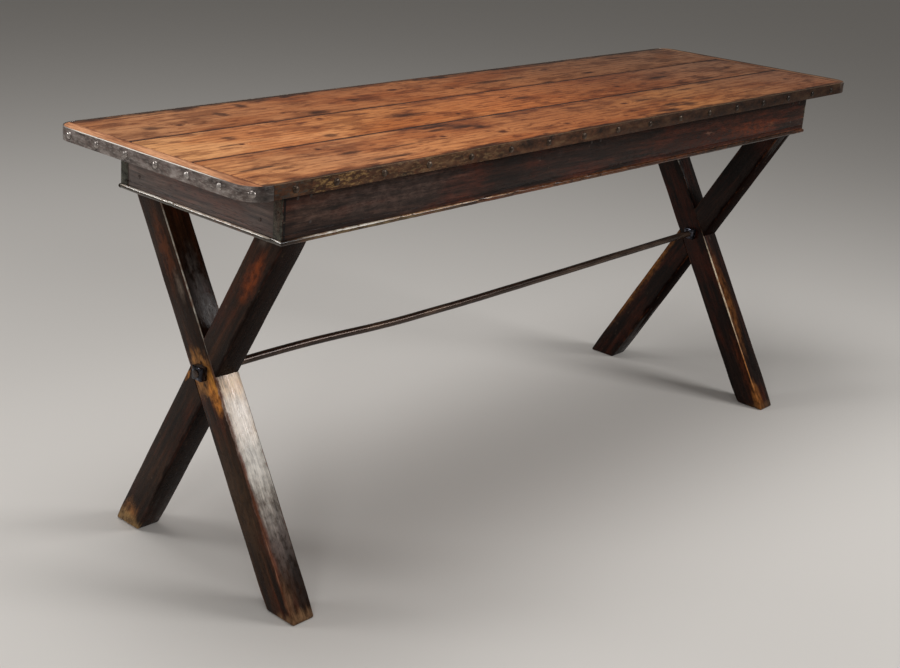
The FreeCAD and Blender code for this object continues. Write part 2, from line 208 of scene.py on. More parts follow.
def stainedPine(name, look):
    # Pine stained almost black and waxed: black-brown streaks along the grain with red-brown showing through,
    # the finish rubbed off to orange and tan wood on the arrises, toes and round the nut; some patches are
    # painted highlights, sheen and shade. Grain is local Z.
    material, add = startMaterial(name)
    place = add("TexCoord").outputs["Object"]
    local = add("Mapping", [place, metres(look["centre"]), [math.radians(angle) for angle in look["turn"]]],
                vector_type="TEXTURE")
    seeded = add("Mapping", [local, (look["seed"], 0, look["seed"])])
    streaks, fibres, clouds, scuffs, pores = [
        drawnNoise(add, seeded, look[cells]) for cells in ("streaks", "fibres", "clouds", "scuffs", "pores")]
    colour = add("ValToRGB", [streaks], list(zip((0.34, 0.54, 0.76), look["tones"])))
    warm = add("Math", [streaks, 0.5, clouds], operation="MULTIPLY_ADD")
    warm = add("MapRange", [warm, 0.72, 0.98, 0.0, look["redStrength"]], **smooth)
    colour = add("MixRGB", [warm, colour, linear(look["red"])])

    # Patches: worn finish and its colours, and painted highlights, sheen and shade. The place is pushed about by
    # noise, so that their rims follow the grain.
    push = drawnNoise(add, local, look["raggedness"], 0.7).outputs["Color"]
    push = add("VectorMath", [push, (0.5, 0.5, 0.5)], operation="SUBTRACT")
    ragged = add("VectorMath", [push, metres([2 * look["drift"]] * 3), local], operation="MULTIPLY_ADD")
    # How far each patch shows its pale tone against its dark one, by scuff noise
    patchMottle = add("MapRange", [scuffs, 0.35, 0.62])
    gloss = look["gloss"]
    for mark in look["patches"]:
        # Lines along arrises, worn ones and painted highlights alike, stay true; other patches are torn by the
        # grain
        tear = look["lineTear"] if mark.line else look["tear"]
        reach = ovalReach(add, local if mark.line else ragged, mark.at, mark.size)
        reach = add("Math", [streaks, -tear, reach], operation="MULTIPLY_ADD")
        rim = 1 - tear / 2
        inside = add("MapRange", [reach, rim - mark.soft, rim, mark.strength, 0.0], **smooth)
        tone = add("MixRGB", [patchMottle, linear(mark.dark), linear(mark.tone)])
        colour = add("MixRGB", [inside, colour, tone])
        if mark.wax:
            # The patch adds its share to the gloss here; a negative share lowers it
            gloss = add("Math", [inside, mark.wax, gloss], operation="MULTIPLY_ADD")

    # Worn arrises: on either face of an arris, half width + half depth - |x| - |y| is the distance to it
    off = [add("Math", [axis], operation="ABSOLUTE") for axis in add("SeparateXYZ", [local]).outputs[:2]]
    reach = add("Math", off, operation="ADD")
    reach = add("Math", [sum(look["half"]) * mm, reach], operation="SUBTRACT")
    least, most = 0.2 * look["arrisWidth"] * mm, 2.2 * look["arrisWidth"] * mm
    share = add("Math", [reach, add("MapRange", [clouds, 0.35, 0.7, least, most])], operation="DIVIDE")
    chipped = add("MapRange", [scuffs, 0.35, 0.65, -0.5, 0.7])
    share = add("Math", [share, chipped], operation="ADD")
    worn = add("MapRange", [share, 0.3, 1.1, look["arrisStrength"], 0.0], **smooth)
    colour = add("MixRGB", [worn, colour, linear(look["arris"])])

    # Small pale scuffs and dark open pores
    scuffed = add("MapRange", [scuffs, 0.64, 0.76, 0.0, look["scuffStrength"]], **smooth)
    colour = add("MixRGB", [scuffed, colour, linear(look["scuff"])])
    poreTone = add("MapRange", [pores, 0.3, 0.48, look["poreTone"]])
    fibreTone = add("MapRange", [fibres, 0.3, 0.7, *look["fibreTone"]])
    for tone in (poreTone, fibreTone):
        colour = add("MixRGB", [1.0, colour, tone], blend_type="MULTIPLY")
    rough = add("MapRange", [scuffs, 0.35, 0.65, *look["rough"]])
    closeMaterial(add, {"Base Color": colour, "Roughness": rough, "IOR": 1.5, "Specular IOR Level": gloss},
                  look["relief"], streaks, [(fibres, 0.5), (poreTone, 0.5), (scuffs, 0.35)])
    return material


def patinatedIron(name, look):
    # Hoop or wrought iron, hammered, blackened and waxed over old rust: brown-black and mottled, ochre and
    # grey-green in places, rubbed to bright metal on the lip, which is brightened further into a painted
    # highlight, with a broken soft gloss and painted shade along the strip
    material, add = startMaterial(name)
    place = add("TexCoord").outputs["Object"]
    along, across, up = add("SeparateXYZ", [place]).outputs[:3]
    pits, clouds, scratches = [drawnNoise(add, place, look[cells]) for cells in ("pits", "clouds", "scratches")]
    dents = add("TexVoronoi", {"Vector": place, "Scale": 1000 / look["dentWidth"]}, feature="SMOOTH_F1")
    colour = add("ValToRGB", [clouds], list(zip((0.34, 0.52, 0.70), look["tones"])))
    rust = add("MapRange", [pits, 0.48, 0.68, 0.0, look["rustStrength"]], **smooth)
    colour = add("MixRGB", [rust, colour, linear(look["rust"])])
    for fromX, toX, tone, strength in look["washes"]:
        # A stretch of the strip, from one x to another, where another tone shows in scratches
        offset, length = awayFrom(add, along, (fromX + toX) / 2), toX - fromX
        window = add("MapRange", [offset, length / 4 * mm, length / 2 * mm, strength, 0.0], **smooth)
        speckle = add("MapRange", [scratches, 0.48, 0.66], **smooth)
        speckle = add("Math", [speckle, window], operation="MULTIPLY")
        colour = add("MixRGB", [speckle, colour, linear(tone)])
    # Painted shade along the strip: from one x to another the iron is darkened down to a share of its tone
    fromX, toX, share = look["paintedShadeAlong"]
    dim = add("MapRange", [along, fromX * mm, toX * mm, 1.0, share], **smooth)
    colour = add("MixRGB", [1.0, colour, dim], blend_type="MULTIPLY")
    metal = add("MapRange", [rust, 0.0, 1.0, look["metal"], look["rustMetal"]])
    rough = add("MapRange", [pits, 0.3, 0.7, *look["rough"]])
    if look["lip"]:
        level, depth, tone, strength = look["lip"]
        edge = add("MapRange", [clouds, 0.3, 0.7, (level - depth * 1.5) * mm, (level - depth * 0.7) * mm])
        over = add("Math", [up, edge], operation="SUBTRACT")
        bright = add("MapRange", [over, 0.0, look["lipRim"] * mm, 0.0, strength], **smooth)
        # The lip's worn metal and its painted highlight die out towards both ends of its stretch
        middle, whole, gone = look["lipSpan"]
        fade = add("MapRange", [awayFrom(add, across, middle), whole * mm, gone * mm, 1.0, 0.0], **smooth)
        bright = add("Math", [bright, fade], operation="MULTIPLY")
        colour = add("MixRGB", [bright, colour, linear(tone)])
        dull = add("Math", [1.0, bright], operation="SUBTRACT")
        metal = add("Math", [metal, dull], operation="MULTIPLY")
    closeMaterial(add, {"Base Color": colour, "Roughness": rough, "Metallic": metal,
                        "Specular IOR Level": look["gloss"]},
                  look["relief"], pits, [(dents, 0.8), (scratches, 0.5)])
    return material


def block(low, high):
    # Box between two corners, the start of most pieces
    bm = bmesh.new()
    low, high = Vector(low) * mm, Vector(high) * mm
    size = Matrix.Diagonal((*(high - low), 1))
    bmesh.ops.create_cube(bm, size=1, matrix=Matrix.Translation((low + high) / 2) @ size)
    return bm


def cutPlane(bm, point, normal, geometry=None, **options):
    return bmesh.ops.bisect_plane(bm, geom=geometry or bm.verts[:] + bm.edges[:] + bm.faces[:], dist=onPlane,
                                  plane_co=Vector(point) * mm, plane_no=normal, **options)


def saw(bm, point, normal, geometry=None):
    # Cuts off what lies on the normal's side of a plane and closes the cut
    cut = cutPlane(bm, point, normal, geometry, clear_outer=True)
    rim = [item for item in cut["geom_cut"] if isinstance(item, bmesh.types.BMEdge)]
    bmesh.ops.holes_fill(bm, edges=rim, sides=0)


def addSections(bm, way, places, centre=(0, 0, 0)):
    # Edge loops across a piece, so that wear can bend it
    for place in places:
        cutPlane(bm, Vector(centre) + Vector(way) * place, way)


def sharpEdges(bm, degrees=50):
    return [edge for edge in bm.edges if edge.calc_face_angle(0) > math.radians(degrees)]


def roundEdges(bm, edges, size, segments=2):
    bmesh.ops.bevel(bm, geom=edges, offset=size * mm, offset_type="OFFSET", affect="EDGES", segments=segments,
                    profile=0.5, material=-1, clamp_overlap=True)


def wear(bm, sizes, seed, only=None):
    # Moves each point a little, by a smooth field of bumps
    amount, span = sizes
    for vert in bm.verts:
        if only is None or only(vert.co):
            vert.co += noise.noise_vector(vert.co / (span * mm) + Vector((seed, seed, seed))) * amount * mm


def evenly(first, last, step):
    count = max(1, round((last - first) / step))
    return [first + (last - first) * number / count for number in range(1, count)]


def addObject(name, data):
    made = bpy.data.objects.new(name, data)
    bpy.context.scene.collection.objects.link(made)
    return made


def meshObject(name, bm):
    mesh = bpy.data.meshes.new(name)
    bm.to_mesh(mesh)
    bm.free()
    return addObject(name, mesh)


def finishPiece(name, bm, material):
    # Keeps the piece inside the CAD node it stands for, then makes it an object of the scene
    low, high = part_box(name)
    for vert in bm.verts:
        for axis in range(3):
            vert.co[axis] = min(max(vert.co[axis], low[axis]), high[axis])
    bmesh.ops.recalc_face_normals(bm, faces=bm.faces)
    piece = meshObject(name, bm)
    mesh = piece.data
    mesh.polygons.foreach_set("use_smooth", [True] * len(mesh.polygons))
    mesh.set_sharp_from_angle(angle=math.radians(shadedSharp))
    mesh.materials.append(material)
    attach(piece, "root")
    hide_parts(name)


# Top boards and end clamps, sawn from one slab with rounded corners
top = {
    "half": (898.0, 255.0), "low": 756.0, "high": 779.7, "corner": 38.0, "cornerSteps": 10, "clampLine": 870.0,
    "seam": 81.0, "gap": 0.6, "arris": 1.5, "sectionStep": 45.0, "wear": (0.5, 60.0),
}
pineLook = {
    "turn": 0, "level": 768.0, "markDepth": 60.0, "ringWidth": 17.0, "ringDraw": 0.13, "wander": 34.0,
    "wanderWidth": 120.0, "fibres": (2.0, (30, 1, 3), 4.0), "streaks": (8.0, (9, 1, 2), 6.0),
    "bruises": (20.0, (2.8, 1, 1), 6.0), "fibreTone": (0.8, 1.2), "smearStrength": 0.9,
    # Each: size in millimetres, how far drawn out, where the noise starts and ends to show, tone, strength
    "smears": [(95, 2.6, 0.44, 0.62, "#dcc4ac", 1.0), (42, 2.6, 0.48, 0.64, "#b5a396", 0.9),
               (21, 2.8, 0.54, 0.68, "#947868", 0.8), (10, 5.0, 0.54, 0.68, "#a98a72", 0.8),
               (5, 9.0, 0.56, 0.70, "#8a6650", 0.8)],
    "lateWood": "#b08a6e", "ringStrength": 0.6, "grimeRim": (0.1, 1.2), "tear": 2.4,
    "stain": "#6c5d5d", "stainStrength": 0.85, "stainRim": (0.3, 1.45),
    "knot": "#6b4228", "knotStrength": 0.95, "knotRim": (0.3, 1.5), "knotBend": (4.0, 14.0),
    "rough": (0.42, 0.62), "relief": 0.5, "knots": [], "stains": [],
}
seamGrime, edgeGrime, seamLine = "#94684e", "#5a4f3e", "#3a2014"
# Knots and stains: middle x and y, half length and half width. Grime: level, spread, tear, tone and strength.
# Each board's tones along the table darken towards the right end: painted shade where the light falls off
boardLooks = {
    "front": dict(
        pineLook, seed=4.7,
        tonesAndShadeAlong=[(0.0, "#d08e58"), (0.14, "#b87b50"), (0.25, "#c8834f"), (0.47, "#a46236"), (0.69, "#a2683a"),
                    (0.92, "#84563a")],
        knots=[(-382, -160, 8, 6), (-255, -188, 12, 9), (175, -143, 12, 6), (780, -158, 10, 6),
               (-640, -118, 7, 5), (-90, -205, 8, 6)],
        stains=[(-330, -96, 46, 14), (-262, -138, 18, 9), (-296, -122, 34, 13), (-352, -118, 22, 9),
                (-800, -166, 50, 6), (-770, -182, 30, 5), (-612, -163, 20, 8), (-505, -172, 50, 5),
                (-570, -219, 50, 8), (-197, -238, 10, 6), (432, -115, 34, 7), (265, -204, 30, 13),
                (298, -213, 24, 14), (205, -230, 46, 12), (350, -178, 14, 8), (235, -140, 30, 6),
                (540, -90, 44, 7)],
        grime=[(-81, 9, 2.4, seamGrime, 0.6), (-81, 4.0, 0.3, seamLine, 1.0), (-255, 15, 2.4, edgeGrime, 0.95)]),
    "middle": dict(
        pineLook, seed=9.2,
        tonesAndShadeAlong=[(0.0, "#d2965f"), (0.14, "#dc9a66"), (0.25, "#c58049"), (0.47, "#b46a38"), (0.69, "#88502c"),
                    (0.92, "#835a3f")],
        knots=[(-475, 57, 8, 7), (-725, -27, 6, 5), (-8, 25, 9, 6), (320, -20, 9, 6), (-210, -40, 6, 5)],
        stains=[(-714, 18, 14, 10), (-550, -53, 15, 13), (-750, -22, 24, 4), (-318, 2, 46, 15),
                (25, 2, 30, 9), (500, 0, 42, 10), (612, -60, 60, 6), (500, -68, 34, 6)],
        grime=[(-81, 8, 2.4, seamGrime, 0.6), (-81, 4.0, 0.3, seamLine, 1.0), (81, 8, 2.4, seamGrime, 0.6),
               (81, 4.0, 0.3, seamLine, 1.0)]),
    "back": dict(
        pineLook, seed=14.1,
        tonesAndShadeAlong=[(0.0, "#b67f55"), (0.25, "#ab6d42"), (0.47, "#a8683c"), (0.69, "#845536"), (0.92, "#7d563c")],
        knots=[(-725, 140, 9, 7), (-155, 187, 15, 8), (-500, 128, 7, 5), (400, 118, 22, 7), (-30, 140, 8, 6)],
        stains=[(-784, 146, 18, 12), (-528, 214, 12, 20), (-400, 237, 20, 9), (-606, 172, 11, 20),
                (-438, 98, 28, 13), (100, 152, 42, 12), (196, 150, 26, 11), (215, 87, 24, 7),
                (-300, 150, 14, 14), (30, 236, 60, 10)],
        grime=[(81, 9, 2.4, seamGrime, 0.6), (81, 4.0, 0.3, seamLine, 1.0), (255, 26, 2.4, edgeGrime, 0.95),
               (255, 8, 0.8, seamLine, 0.8)]),
}
# The clamps' tones go with the boards' ends: the right clamp is darker, as painted shade where the light falls
# off
clampLooks = {
    "left": dict(pineLook, turn=90, seed=2.2, tonesAndShadeAlong=[(0.0, "#dea276"), (1.0, "#dea276")], smearStrength=0.75,
                 grime=[(-870, 9, 2.4, seamGrime, 0.8), (-870, 2.0, 0.8, seamLine, 0.7),
                        (-898, 4, 2.4, seamGrime, 0.5)]),
    "right": dict(pineLook, turn=90, seed=6.6, tonesAndShadeAlong=[(0.0, "#8a6448"), (1.0, "#8a6448")],
                  grime=[(870, 8, 2.4, seamGrime, 0.7), (870, 2.0, 0.8, seamLine, 0.7),
                         (898, 12, 1.2, "#3c3428", 0.9)]),
}


def roundedSlab(sizes):
    halfX, halfY = sizes["half"]
    bm = block((-halfX, -halfY, sizes["low"]), (halfX, halfY, sizes["high"]))
    uprights = [edge for edge in bm.edges if abs(edge.verts[0].co.z - edge.verts[1].co.z) > 1 * mm]
    roundEdges(bm, uprights, sizes["corner"], sizes["cornerSteps"])
    return bm


def boardPiece(name, look, cuts, way, reach):
    # A cut takes off what lies past a level, in the direction given with it
    bm = roundedSlab(top)
    for outward, level in cuts:
        saw(bm, outward * level, outward)
    roundEdges(bm, sharpEdges(bm), top["arris"])
    addSections(bm, way, evenly(-reach, reach, top["sectionStep"]))
    wear(bm, top["wear"], look["seed"])
    finishPiece(name, bm, scrubbedPine("scrubbed pine, " + name, look))


def buildTop():
    gap, seam = top["gap"], top["seam"]
    inside = top["clampLine"] - gap
    boards = {"front": [(yWay, -seam - gap)], "middle": [(-yWay, seam - gap), (yWay, seam - gap)],
              "back": [(-yWay, -seam - gap)]}
    for place, cuts in boards.items():
        cuts = [(xWay, inside), (-xWay, inside)] + cuts
        boardPiece("top_board_" + place, boardLooks[place], cuts, xWay, inside)
    for place, side in ends:
        cuts = [(xWay * -side, -top["clampLine"] - gap)]
        boardPiece("end_clamp_" + place, clampLooks[place], cuts, yWay, top["half"][1] - top["corner"])
    print("top: three boards and two clamps")


buildTop()


# Iron band round the edge of the top
band = {
    "half": (900.0, 257.0), "corner": 40.0, "cornerSteps": 10, "low": 756.2, "high": 779.95, "thickness": 2.0,
    "lap": 45.0, "jointGap": 0.6, "arris": 0.5, "sectionStep": 26.0, "wear": (0.35, 70.0),
}
bandLook = {
    "pits": (6.0, (1.6, 1.6, 1), 6.0), "clouds": (16.0, (2.4, 2.4, 1), 7.0), "scratches": (3.5, (3, 3, 1), 5.0),
    "dentWidth": 11.0, "tones": ("#1d1612", "#3d2e25", "#5c4c40"), "rust": "#4a2c1c", "rustStrength": 0.5,
    "metal": 0.45, "rustMetal": 0.1, "gloss": 0.5, "rough": (0.32, 0.58), "relief": 0.45,
    # Washes: from x to x, tone and strength. Painted shade along the strip: from x to x, share of the tone left.
    "washes": [], "paintedShadeAlong": (0, 1, 1.0),
    # Lip, rubbed bright metal with a painted highlight: its level, depth, tone and strength. Its span: middle y,
    # where it starts to fade, where it is gone.
    "lip": (780, 0.8, "#8c8378", 0.6), "lipSpan": (0, 500, 600), "lipRim": 0.6,
}
bandLooks = {
    # Front strip: painted shade darkens it towards the right end, where the light falls off; its lip is a dim
    # painted highlight
    "front": dict(bandLook, tones=("#25170e", "#4a2e1c", "#6a4e36"), rust="#643a22", metal=0.1, gloss=0.16,
                  lip=(780, 0.6, "#7f6c50", 0.4), paintedShadeAlong=(-350, 450, 0.34),
                  washes=[(-830, -250, "#8c6f4c", 0.5), (-810, -640, "#b08a52", 0.5),
                          (-935, -750, "#3a3530", 1.0)]),
    "back": bandLook,
    # Left end strip: its lip is a near-white painted highlight on the rubbed metal, and painted shade darkens the
    # strip past its end face, round the corners
    "left": dict(bandLook, clouds=(13.0, (2.4, 2.4, 1), 7.0), tones=("#3a3230", "#7a6e68", "#a89d98"),
                 rust="#6b504a", rustStrength=0.45, metal=0.5, rough=(0.24, 0.5),
                 washes=[(-1000, -800, "#cfc6bf", 0.35)], paintedShadeAlong=(-899, -878, 0.42),
                 lip=(780, 1.2, "#fbf6ec", 1.0), lipSpan=(15, 165, 225)),
    "right": bandLook,
}


def sideBand(side):
    reach = band["half"][0] - band["lap"] - band["jointGap"]
    outer = band["half"][1]
    yLow, yHigh = sorted((side * (outer - band["thickness"]), side * outer))
    bm = block((-reach, yLow, band["low"]), (reach, yHigh, band["high"]))
    roundEdges(bm, bm.edges[:], band["arris"])
    addSections(bm, xWay, evenly(-reach, reach, band["sectionStep"]))
    return bm


def endBand(side):
    # The wall of the slab's end, bent round both corners, then thickened inwards
    bm = roundedSlab(band)
    flat = [face for face in bm.faces if abs(face.normal.z) > 0.5]
    bmesh.ops.delete(bm, geom=flat, context="FACES_ONLY")
    cutPlane(bm, (side * (band["half"][0] - band["lap"]), 0, 0), (-side, 0, 0), clear_outer=True)
    straight = band["half"][1] - band["corner"]
    addSections(bm, yWay, evenly(-straight, straight, band["sectionStep"]))
    bmesh.ops.recalc_face_normals(bm, faces=bm.faces)
    if max(bm.faces, key=lambda face: face.calc_area()).normal.x * side < 0:
        bmesh.ops.reverse_faces(bm, faces=bm.faces)
    bmesh.ops.solidify(bm, geom=bm.faces[:], thickness=band["thickness"] * mm)
    bmesh.ops.recalc_face_normals(bm, faces=bm.faces)
    roundEdges(bm, sharpEdges(bm), band["arris"])
    return bm


def buildBand():
    for strips, shape, seed in ((sides, sideBand, 3.0), (ends, endBand, 7.0)):
        for place, side in strips:
            name, bm = "edge_band_" + place, shape(side)
            wear(bm, band["wear"], side * seed)
            finishPiece(name, bm, patinatedIron("patinated hoop iron, " + name, bandLooks[place]))
    print("band: two long strips and two end strips")


buildBand()


# Dome-headed nails: hammered caps, no two quite alike. A row is its first and last place and a count.
dome = {
    "radius": 6.4, "height": 3.3, "level": 768.0, "faces": 14, "rings": 8, "sunk": 0.3, "squash": 0.1,
    "narrow": 0.97, "turnEach": 1.9, "wear": (0.3, 4.0), "sideRow": (-728.0, 728.0, 15), "sideCorner": 812.0,
    "endRow": (210.5, -184.5, 6), "cornerAngle": 45.0,
}
domeLook = dict(bandLook, pits=(3.0, (1, 1, 1), 5.0), clouds=(9.0, (1, 1, 1), 4.0), dentWidth=6.5,
                scratches=(3.0, (1, 1, 1), 4.0), tones=("#261b14", "#43352a", "#6e5d4e"), rust="#4a3322",
                rustStrength=0.3, metal=0.7, rough=(0.32, 0.46), relief=0.08, lip=None)


def domeRow(first, last, count):
    return [first + (last - first) * number / (count - 1) for number in range(count)]


def sideDomes(side):
    # Seats and outward directions
    row = [-dome["sideCorner"], *domeRow(*dome["sideRow"]), dome["sideCorner"]]
    return [(Vector((x, side * band["half"][1], dome["level"])), yWay * side) for x in row]


def endDomes(side):
    # The right end is the left end turned half round
    halfX, halfY = band["half"]
    places = [(Vector((side * halfX, -side * y, dome["level"])), xWay * side) for y in domeRow(*dome["endRow"])]
    turn = math.radians(dome["cornerAngle"])
    outward = Vector((side * math.cos(turn), side * math.sin(turn), 0))
    centre = Vector((side * (halfX - band["corner"]), side * (halfY - band["corner"]), dome["level"]))
    return places + [(centre + outward * band["corner"], outward)]


def domeNails(name, places, material):
    bm = bmesh.new()
    radius, height = dome["radius"] * mm, dome["height"] * mm
    for number, (seat, outward) in enumerate(places):
        unlike = noise.noise(Vector((number * 3.7, seat.x * 0.01, seat.y * 0.01)))
        stretch = 1 - dome["squash"] * abs(unlike)
        size = Matrix.Diagonal((radius * stretch, radius * (2 - stretch) * dome["narrow"], height * stretch, 1))
        turn = outward.to_track_quat("Z", "Y").to_matrix().to_4x4()
        turn = turn @ Matrix.Rotation(number * dome["turnEach"], 4, "Z")
        made = bmesh.ops.create_uvsphere(bm, u_segments=dome["faces"], v_segments=dome["rings"], radius=1.0,
                                         matrix=Matrix.Translation(seat * mm) @ turn @ size)["verts"]
        fresh = set(made)
        whole = made + [item for item in bm.edges[:] + bm.faces[:] if item.verts[0] in fresh]
        saw(bm, seat - outward * dome["sunk"], -outward, whole)
    wear(bm, dome["wear"], 5.0)
    finishPiece(name, bm, material)


def buildDomes():
    # Side nail heads: painted shade darkens them towards the right end
    dull = patinatedIron("worn nail heads, wrought iron", dict(domeLook, paintedShadeAlong=(-100, 500, 0.35)))
    rubbed = patinatedIron("rubbed nail heads, wrought iron", dict(
        domeLook, tones=("#766d68", "#aaa19b", "#d8d1cb"), rough=(0.24, 0.36)))
    for strips, domes, material in ((sides, sideDomes, dull), (ends, endDomes, rubbed)):
        for place, side in strips:
            domeNails("band_nails_" + place, domes(side), material)
    print("band nails: 48 domes")


buildDomes()


# Apron boards with their quirk groove, and the half-round moulding under them
apron = {
    "face": (796.0, 210.0), "thickness": 20.0, "low": 672.0, "high": 756.0, "recess": 0.25, "jointRecess": 0.6,
    "jointGap": 0.4, "quirk": (679.5, 681.1), "quirkDepth": 1.2, "arris": 0.35, "sectionStep": 30.0,
    "wear": (0.3, 50.0),
}
moulding = {
    "projection": 3.0, "height": 9.0, "low": 663.0, "nose": 4.3, "noseSteps": 6, "sectionStep": 9.0,
    # Chips come where noise of this span passes a level, sooner towards the right end, by so much a metre
    "wear": (0.2, 40.0), "chipDepth": 2.6, "chipSpan": 22.0, "chipLevel": 0.32, "chipSlant": 0.15, "chipRim": 6,
}
# A patch of worn finish, stain, painted highlight, painted sheen or painted shade: middle and half sizes in the
# piece's own axes, softness of its rim, strength, pale and dark tone, what it adds to the gloss, and whether it
# is a line along an arris
patch = namedtuple("patch", "at size soft strength tone dark wax line", defaults=(0.0, False))
woodLook = {
    "turn": (0, 90, 0), "half": (42, 10), "streaks": (11.0, (1, 1, 13), 6.0), "fibres": (1.8, (1, 1, 24), 4.0),
    "clouds": (70.0, (1, 1, 2.2), 6.0), "scuffs": (9.0, (1, 1, 1.8), 6.0), "pores": (2.2, (1, 1, 7), 3.0),
    "raggedness": (16.0, (1, 1, 2), 5.0), "drift": 9.0, "tear": 0.9, "lineTear": 0.15,
    "tones": ("#120a07", "#2a1710", "#4a2a1b"), "red": "#5c2410", "redStrength": 0.6,
    "arris": "#6b3a20", "arrisWidth": 2.0, "arrisStrength": 0.6, "scuff": "#8a7460", "scuffStrength": 0.3,
    "poreTone": 0.4, "fibreTone": (0.7, 1.3), "rough": (0.28, 0.5), "gloss": 0.25, "relief": 0.4, "patches": [],
}
# Local axes on the long sides: x down, y across, z along the table to the right
apronPatches = [
    patch((10, 0, 420), (60, 20, 420), 0.8, 0.75, "#471a0b", "#200d06"),
    patch((18, 0, 560), (26, 20, 190), 0.7, 0.75, "#6e3216", "#3b1a0e"),
    patch((0, 0, -796), (60, 30, 3), 0.4, 0.9, "#5e5f54", "#22231f"),
    patch((0, 0, 796), (60, 30, 3), 0.4, 0.85, "#5a5648", "#26241f"),
    # From here on the front alone
    # Painted sheen: the front board paler towards its left end
    patch((0, 0, -560), (60, 20, 300), 0.8, 0.7, "#66534b", "#3c2e28"),
    patch((0, 0, -740), (60, 20, 110), 0.9, 0.6, "#6e5448", "#463228"),
    patch((0, 0, -60), (60, 20, 280), 0.9, 0.7, "#2c2320", "#1a1413"),
    patch((8, 0, 400), (3, 20, 26), 0.6, 0.6, "#7a5a4a", "#5a4030"),
    patch((18, 0, 655), (7, 20, 32), 0.8, 0.5, "#7c5238", "#4a2c1c"),
    patch((0, -10, -790), (90, 4, 3), 0.5, 0.95, "#120f0d", "#0b0908", line=True),
]
apronLooks = {
    "front": dict(woodLook, gloss=0.15, patches=apronPatches),
    "back": dict(woodLook, gloss=0.15, patches=apronPatches[:4]),
    "end": dict(woodLook, turn=(90, 0, 0), half=(10, 42), tones=("#362b29", "#5d4e48", "#857268"), red="#63392c",
                arrisStrength=0.3, gloss=0.5,
                patches=[patch((0, -8, -10), (20, 38, 190), 0.9, 0.55, "#7a463a", "#4a2a22")]),
}
stripLook = dict(woodLook, half=(4.5, 11.5), arris="#7a4c30", arrisWidth=3.0, arrisStrength=0.5,
                 rough=(0.22, 0.4), gloss=0.22, relief=0.12)
endStripLook = dict(stripLook, turn=(90, 0, 0), half=(11.5, 4.5), rough=(0.12, 0.24), gloss=0.7)


def apronBoard(name, look, low, high, side, lengthwise):
    # low and high are the board's corners. The groove is pressed into the face that looks outwards.
    bm = block(low, high)
    axis, along, way = (1, 0, xWay) if lengthwise else (0, 1, yWay)
    addSections(bm, zWay, apron["quirk"])
    outside = max(side * low[axis], side * high[axis]) * mm
    quirkLow, quirkHigh = metres(apron["quirk"])
    strip = [face for face in bm.faces if face.normal[axis] * side > 0.5 and
             quirkLow < face.calc_center_median().z < quirkHigh]
    pressed = bmesh.ops.extrude_face_region(bm, geom=strip)
    bmesh.ops.delete(bm, geom=strip, context="FACES")
    for item in pressed["geom"]:
        if isinstance(item, bmesh.types.BMVert):
            item.co[axis] = side * (outside - apron["quirkDepth"] * mm)
    sharp = sharpEdges(bm)
    bmesh.ops.recalc_face_normals(bm, faces=bm.faces)
    roundEdges(bm, sharp, apron["arris"])
    addSections(bm, way, evenly(low[along], high[along], apron["sectionStep"]))
    wear(bm, apron["wear"], look["seed"])
    finishPiece(name, bm, stainedPine("stained pine, " + name, look))


def mouldingStrip(name, look, side, lengthwise):
    axis, along, way = (1, 0, xWay) if lengthwise else (0, 1, yWay)
    out = moulding["projection"]
    outer, reach = apron["face"][axis] + out, apron["face"][along] + out
    inner = outer - out - apron["thickness"]
    low, high = moulding["low"], moulding["low"] + moulding["height"]
    lowCross, highCross = sorted((side * inner, side * outer))
    if lengthwise:
        bm = block((-reach, lowCross, low), (reach, highCross, high))
    else:
        bm = block((lowCross, -reach, low), (highCross, reach, high))
    nose = [edge for edge in bm.edges
            if all(abs(vert.co[axis] - side * outer * mm) < 0.01 * mm for vert in edge.verts) and
            abs(edge.verts[0].co[along] - edge.verts[1].co[along]) > 1 * mm]
    roundEdges(bm, nose, moulding["nose"], moulding["noseSteps"])
    for end in (-1, 1):
        # Mitred at both ends
        mitre = Vector((end, -side, 0)) if lengthwise else Vector((-side, end, 0))
        corner = (end * reach, side * outer, 0) if lengthwise else (side * outer, end * reach, 0)
        saw(bm, corner, mitre.normalized())
    addSections(bm, way, evenly(-reach, reach, moulding["sectionStep"]))
    wear(bm, moulding["wear"], look["seed"])
    for vert in bm.verts:
        # Chips come off the nose, more of them towards the right end
        proud = (side * vert.co[axis] - (outer - moulding["nose"]) * mm) / (moulding["nose"] * mm)
        if proud > 0:
            bite = noise.noise(Vector((vert.co[along] / (moulding["chipSpan"] * mm), look["seed"] * 3, 0)))
            bite += moulding["chipSlant"] * max(0.0, vert.co.x) - moulding["chipLevel"]
            if bite > 0:
                vert.co[axis] -= side * min(1.0, bite * moulding["chipRim"]) * proud * moulding["chipDepth"] * mm
    finishPiece(name, bm, stainedPine("stained moulding, " + name, look))


